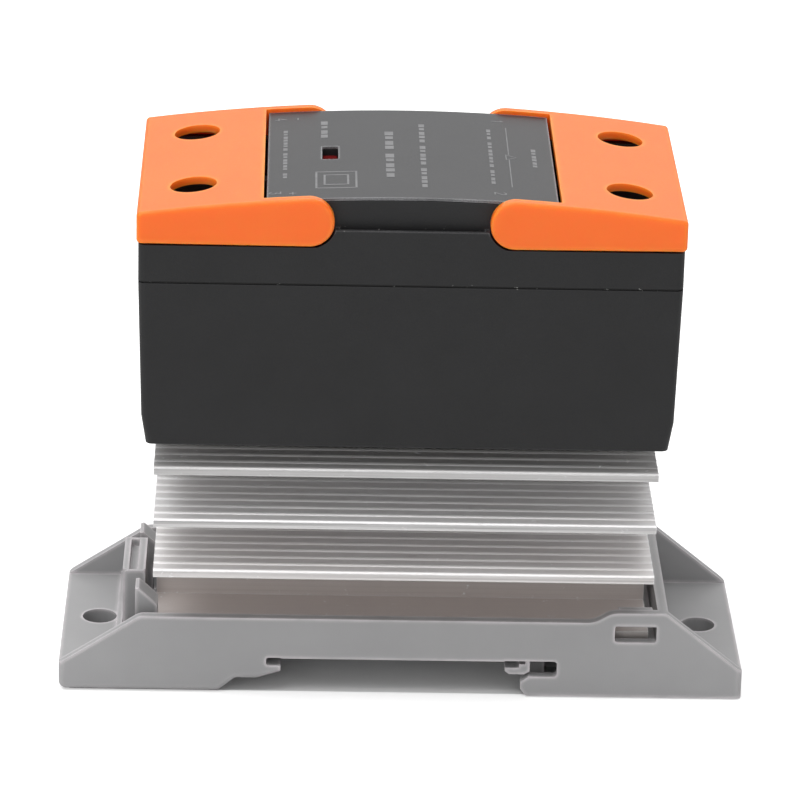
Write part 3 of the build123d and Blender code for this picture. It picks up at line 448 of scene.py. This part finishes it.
def plated_metal(name, dark, light, roughness, depth=0.000006, metallic=1.0):
    """Bare or plated metal with faint clouds, a fine skin and a brighter painted highlight along the edges.
    """
    made, tree, shader = finish_of(name, roughness, Metallic=metallic)
    surface = place_group(tree, skin, Grain_Size=5200.0, Grain_Depth=depth, Cloud_Size=320.0)
    # painted highlight: the edges are painted brighter
    edge = place_group(tree, edge_light, Width=0.0002, Strength=0.7)["Mask"]
    tint = blend_colours(tree, surface["Cloud"], dark, light)
    edge_highlight_colour = tuple(min(1.0, value * 1.25) for value in light)
    feed(
        tree, shader,
        Base_Color=blend_colours(tree, edge, tint, edge_highlight_colour),
        Roughness=ranged(tree, surface["Cloud"], roughness - 0.08, roughness + 0.12),
        Normal=surface["Normal"],
    )
    return made


dress(plated_metal("nickel_plate", (0.50, 0.48, 0.44), (0.66, 0.63, 0.58), 0.3), "base_plate")
dress(plated_metal("bare_copper", (0.62, 0.28, 0.17), (0.83, 0.43, 0.28), 0.34),
      "copper_tracks", "copper_straps")
dress(plated_metal("silicon_die", (0.09, 0.1, 0.12), (0.16, 0.17, 0.2), 0.16), "thyristor_chips")
soften("base_plate", 0.0002)

tile_white, tile_tree, tile_shader = finish_of("alumina_tile", 0.45)
tile_skin = place_group(tile_tree, skin, Grain_Size=6000.0, Grain_Depth=0.00001)
feed(
    tile_tree, tile_shader,
    Base_Color=blend_colours(tile_tree, tile_skin["Cloud"], (0.78, 0.77, 0.73), (0.88, 0.87, 0.84)),
    Normal=tile_skin["Normal"],
)
dress(tile_white, "ceramic_substrate")

# ------------------------------------------------------------------- black housing
# Lower case and upper case are black glass-filled moulding with a matt skin. They
# meet in a fine seam that gathers a little pale dust.
case_black, case_tree, case_shader = finish_of("case_black", 0.55, Specular_IOR_Level=0.32)
case_skin = place_group(case_tree, skin, Grain_Size=3200.0, Grain_Depth=0.00003)
# painted highlight along the edges of the case
case_edge_highlight = place_group(case_tree, edge_light, Width=0.0004, Strength=1.0)["Mask"]
case_tint = blend_colours(case_tree, case_skin["Cloud"], (0.010, 0.010, 0.0105), (0.017, 0.017, 0.018))
SEAM_HEIGHT = 0.0624
SEAM_REACH = 0.00016
RIM_HEIGHT = 0.0702
RIM_REACH = 0.0005
DUST_REACH = 0.0003
SPECK_RARITY = 0.70
SPECK_GAIN = 12.0
case_place = add(case_tree, "ShaderNodeTexCoord").outputs["Object"]
case_height = add(case_tree, "ShaderNodeSeparateXYZ", {"Vector": case_place}).outputs["Z"]


def close_to(height, reach):
    """1 within reach of a height on the case, 0 elsewhere."""
    away = maths(case_tree, "ABSOLUTE", maths(case_tree, "SUBTRACT", case_height, height))
    return maths(case_tree, "LESS_THAN", away, reach)


# painted highlight: only the rim of the shoulder is painted bright; lower edges get a faint painted highlight
# and stay nearly black
rim_highlight_share = ranged(case_tree, close_to(RIM_HEIGHT, RIM_REACH), 0.12, 1.0)
case_highlighted = blend_colours(
    case_tree, maths(case_tree, "MULTIPLY", case_edge_highlight, rim_highlight_share), case_tint, (0.11, 0.11, 0.115))
# the seam is a dark line with a few pale specks of dust
seam_dark = blend_colours(
    case_tree, close_to(SEAM_HEIGHT, SEAM_REACH), case_highlighted, (0.0015, 0.0015, 0.0015))
speck_noise = add(case_tree, "ShaderNodeTexNoise", {
    "Vector": case_place, "Scale": 1900.0, "Detail": 2.0}).outputs["Fac"]
specks = maths(
    case_tree, "MULTIPLY", maths(case_tree, "SUBTRACT", speck_noise, SPECK_RARITY), SPECK_GAIN,
    clamp=True)
dusty = maths(
    case_tree, "MULTIPLY", specks,
    maths(case_tree, "MAXIMUM", close_to(SEAM_HEIGHT, DUST_REACH), close_to(RIM_HEIGHT, DUST_REACH)))
feed(
    case_tree, case_shader,
    Base_Color=blend_colours(case_tree, dusty, seam_dark, (0.25, 0.25, 0.24)),
    Roughness=ranged(case_tree, case_skin["Grain"], 0.46, 0.62),
    Normal=case_skin["Normal"],
)
dress(case_black, "lower_housing", "upper_housing")
soften("lower_housing", 0.00022)
soften("upper_housing", 0.00022)

# ---------------------------------------------------------------- terminal covers
# Two bright orange covers swing up on arms that clip into the black case. They are
# the same moulding material as the case, left glossier by a polished tool.
# the third colour is a yellower painted highlight along the edges
cover_orange = moulded_plastic(
    "cover_orange", (0.93, 0.155, 0.012), (0.98, 0.18, 0.018), (1.0, 0.29, 0.02), 0.42,
    grain_depth=0.00001, highlight_strength=1.3, highlight_width=0.0011, Specular_IOR_Level=0.36,
    Subsurface_Weight=0.6, Subsurface_Scale=0.0014)
dress(cover_orange, "control_terminal_cover", "output_terminal_cover")
soften("control_terminal_cover", 0.00016)
soften("output_terminal_cover", 0.00016)

# -------------------------------------------------------------------- rating plate
# A thin dark grey plastic film with a satin face lies on the crowned top. Its marks
# are screen printed in pale ink: terminal numbers, signs and plain dashes.
film_grey, film_tree, film_shader = finish_of("film_grey", 0.42, Specular_IOR_Level=0.42)
film_skin = place_group(film_tree, skin, Grain_Size=5200.0, Grain_Depth=0.000014)
# painted highlight: a pale grey painted along the film's edges
film_edge_highlight = place_group(film_tree, edge_light, Width=0.0005, Strength=1.4)["Mask"]
film_tint = blend_colours(film_tree, film_skin["Cloud"], (0.018, 0.018, 0.020), (0.029, 0.029, 0.031))
feed(
    film_tree, film_shader,
    Base_Color=blend_colours(film_tree, film_edge_highlight, film_tint, (0.34, 0.34, 0.35)),
    Roughness=ranged(film_tree, film_skin["Grain"], 0.36, 0.48),
    Normal=film_skin["Normal"],
)
dress(film_grey, "label_plate")
soften("label_plate", 0.00006, angle=50)

MM = 0.001
FILM_RADIUS = 0.258
FILM_CROWN = 0.0745  # height of the film's face at the middle of the relay
INK_THICK = 0.00002
ink_mesh = bmesh.new()


def film_height(x):
    """Height of the film's crowned face at x."""
    return FILM_CROWN - FILM_RADIUS + math.sqrt(FILM_RADIUS ** 2 - x ** 2)


def ink_bar(x_low, x_high, y_low, y_high):
    """A printed bar, given in millimetres, that follows the crown of the film."""
    steps = max(1, math.ceil((x_high - x_low) / 2.0))
    rows = []
    for step in range(steps + 1):
        x = (x_low + (x_high - x_low) * step / steps) * MM
        low, high = film_height(x) - INK_THICK, film_height(x) + INK_THICK
        rows.append([ink_mesh.verts.new((x, y * MM, z)) for y, z in (
            (y_low, low), (y_high, low), (y_high, high), (y_low, high))])
    for near, far in zip(rows, rows[1:]):
        for corner in range(4):
            after = (corner + 1) % 4
            ink_mesh.faces.new((near[corner], near[after], far[after], far[corner]))
    ink_mesh.faces.new(rows[0][::-1])
    ink_mesh.faces.new(rows[-1])


def ink_stroke(start, end, width):
    """A printed straight stroke between two points, in millimetres."""
    first, last = Vector(start), Vector(end)
    along = (last - first).normalized() * width / 2
    across = Vector((-along.y, along.x))
    outline = [
        first - along - across, last + along - across, last + along + across, first - along + across]
    faces = []
    for lift in (-INK_THICK, INK_THICK):
        faces.append([
            ink_mesh.verts.new((p.x * MM, p.y * MM, film_height(p.x * MM) + lift)) for p in outline])
    lower, upper = faces
    ink_mesh.faces.new(lower[::-1])
    ink_mesh.faces.new(upper)
    for corner in range(4):
        after = (corner + 1) % 4
        ink_mesh.faces.new((lower[corner], lower[after], upper[after], upper[corner]))


# terminal numbers, drawn as strokes on a grid one unit wide and two high
NUMBER_STROKES = {
    1: [(0.2, 1.6), (0.55, 2), (0.55, 0)],
    2: [(0, 1.7), (0.3, 2), (0.8, 2), (1, 1.6), (1, 1.3), (0, 0), (1, 0)],
    3: [(0, 2), (1, 2), (0.45, 1.2), (0.85, 1.1), (1, 0.6), (0.7, 0), (0.25, 0), (0, 0.3)],
    4: [(0.75, 0), (0.75, 2), (0, 0.6), (1, 0.6)],
}
NUMBER_LINE = 0.2


def ink_number(number, centre_x, centre_y, height=1.5):
    """A printed number, turned so that its top points to the output side."""
    unit = height / 2
    path = [
        (centre_x + (v - 1) * unit, centre_y - (u - 0.5) * unit) for u, v in NUMBER_STROKES[number]]
    for start, end in zip(path, path[1:]):
        ink_stroke(start, end, NUMBER_LINE)


for number, x, y in ((1, 12.5, 15.6), (2, 11.9, -16.0), (3, -18.6, -16.2), (4, -18.0, 15.8)):
    ink_number(number, x, y)
# plus and minus at the control end
ink_stroke((-16.2, -16.2), (-16.2, -17.0), NUMBER_LINE)
ink_stroke((-16.6, -16.6), (-15.8, -16.6), NUMBER_LINE)
ink_stroke((-15.6, 16.1), (-15.6, 15.4), NUMBER_LINE)


WORD_GAP = 0.7


def ink_dashes(centre_x, y_low, y_high, height, words):
    """A row of dashes along Y, in groups: a stand-in for a line of small print."""
    pitch = (y_high - y_low) / (sum(words) + WORD_GAP * (len(words) - 1))
    y = y_high
    for count in words:
        for dash in range(count):
            length = pitch * (0.8, 0.6, 0.84, 0.7)[dash % 4]
            tall = height * (0.8, 0.72, 0.76)[dash % 3]
            ink_bar(centre_x - tall / 2, centre_x + tall / 2, y - length, y)
            y -= pitch
        y -= WORD_GAP * pitch


ink_dashes(-17.3, -10.6, 10.6, 0.75, (7, 6, 2))
ink_dashes(-11.9, 6.3, 14.2, 1.2, (4,))
ink_dashes(-2.9, -10.9, 9.3, 1.5, (4, 5))
ink_dashes(1.7, -15.0, 12.8, 1.0, (5, 5, 5))
ink_dashes(11.1, -12.5, 11.7, 0.7, (3, 7, 4))
ink_dashes(17.1, -4.3, 4.0, 0.8, (6,))

# switching line with a plain triangle, and a double square
FINE_LINE = 0.14
SQUARE_LINE = 0.28
SQUARE_PLACE = (-10.3, -11.4)
SQUARE_FLATNESS = 0.8
ink_stroke((13.6, 12.8), (13.6, 1.0), FINE_LINE)
ink_stroke((13.6, -1.3), (13.6, -13.0), FINE_LINE)
for start, end in (((13.2, 0.8), (13.2, -1.2)), ((13.2, 0.8), (14.6, -0.2)), ((14.6, -0.2), (13.2, -1.2))):
    ink_stroke(start, end, FINE_LINE)
for half in (3.4, 2.0):
    corners = [
        (SQUARE_PLACE[0] + half * u * SQUARE_FLATNESS, SQUARE_PLACE[1] + half * v)
        for u, v in ((-1, -1), (1, -1), (1, 1), (-1, 1))]
    for start, end in zip(corners, corners[1:] + corners[:1]):
        ink_stroke(start, end, SQUARE_LINE)

bmesh.ops.recalc_face_normals(ink_mesh, faces=ink_mesh.faces)
ink_data = bpy.data.meshes.new("plate_print")
ink_mesh.to_mesh(ink_data)
plate_print = bpy.data.objects.new("plate_print", ink_data)
bpy.context.scene.collection.objects.link(plate_print)
ink_pale, ink_tree, ink_shader = finish_of("ink_pale", 0.55)
ink_skin = place_group(ink_tree, skin, Grain_Size=7000.0, Grain_Depth=0.000006, Cloud_Size=700.0)
feed(
    ink_tree, ink_shader,
    Base_Color=blend_colours(ink_tree, ink_skin["Cloud"], (0.12, 0.12, 0.124), (0.24, 0.24, 0.245)),
    Normal=ink_skin["Normal"],
)
ink_data.materials.append(ink_pale)
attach(plate_print, "base")

# ------------------------------------------------------------ lamp and light guide
# A red lamp on long legs shines through a clear red guide in the plate's window.
lens_red, lens_tree, lens_shader = finish_of("lens_red", 0.18, Coat_Weight=0.4)
lens_skin = place_group(lens_tree, skin, Grain_Size=2500.0, Grain_Depth=0.00001)
feed(
    lens_tree, lens_shader,
    Base_Color=blend_colours(lens_tree, lens_skin["Cloud"], (0.10, 0.004, 0.004), (0.22, 0.008, 0.008)),
    Normal=lens_skin["Normal"],
)
dress(lens_red, "indicator_led", "light_guide")

# --------------------------------------------------------------- terminal hardware
# Zinc-plated cross-head screws and square washers clamp the wires on tinned copper
# strips; square nuts sit in pockets under the shelf.
dress(plated_metal("zinc_plate", (0.46, 0.46, 0.47), (0.66, 0.66, 0.68), 0.3),
      "terminal_screw_1", "terminal_screw_2", "terminal_screw_3", "terminal_screw_4",
      "clamp_plate_1", "clamp_plate_2", "clamp_plate_3", "clamp_plate_4",
      "terminal_nuts", "module_screws", "board_screws")
dress(plated_metal("tinned_copper", (0.52, 0.51, 0.49), (0.72, 0.71, 0.69), 0.36),
      "output_busbar_1", "output_busbar_2", "control_busbar_3", "control_busbar_4", "gate_leads")
for strip in ("output_busbar_1", "output_busbar_2", "control_busbar_3", "control_busbar_4"):
    soften(strip, 0.00015)
for number in (1, 2, 3, 4):
    soften(f"clamp_plate_{number}", 0.00015)

# ------------------------------------------------------------------ control board
# A green glass-epoxy board on brass pillars carries the coupler, the trigger, the
# yellow snubber capacitor and the banded resistors.
board_green, board_tree, board_shader = finish_of("board_green", 0.35, Coat_Weight=0.3)
board_skin = place_group(board_tree, skin, Grain_Size=1500.0, Grain_Depth=0.000015, Cloud_Size=200.0)
feed(
    board_tree, board_shader,
    Base_Color=blend_colours(board_tree, board_skin["Grain"], (0.01, 0.12, 0.04), (0.02, 0.2, 0.07)),
    Normal=board_skin["Normal"],
)
dress(board_green, "circuit_board")
dress(plated_metal("pillar_brass", (0.62, 0.44, 0.18), (0.8, 0.6, 0.28), 0.3), "board_pillars")
# the third colour of each is a paler painted highlight along the edges
dress(moulded_plastic("chip_black", (0.012, 0.012, 0.013), (0.03, 0.03, 0.03), (0.08, 0.08, 0.08), 0.5),
      "optocoupler", "trigger_triac")
dress(moulded_plastic("capacitor_yellow", (0.72, 0.45, 0.04), (0.82, 0.55, 0.07), (0.9, 0.7, 0.3), 0.4),
      "snubber_capacitor")
dress(moulded_plastic("resistor_tan", (0.55, 0.38, 0.2), (0.66, 0.48, 0.28), (0.75, 0.6, 0.4), 0.42),
      "resistors")
soften("circuit_board", 0.0001)
soften("snubber_capacitor", 0.0003)
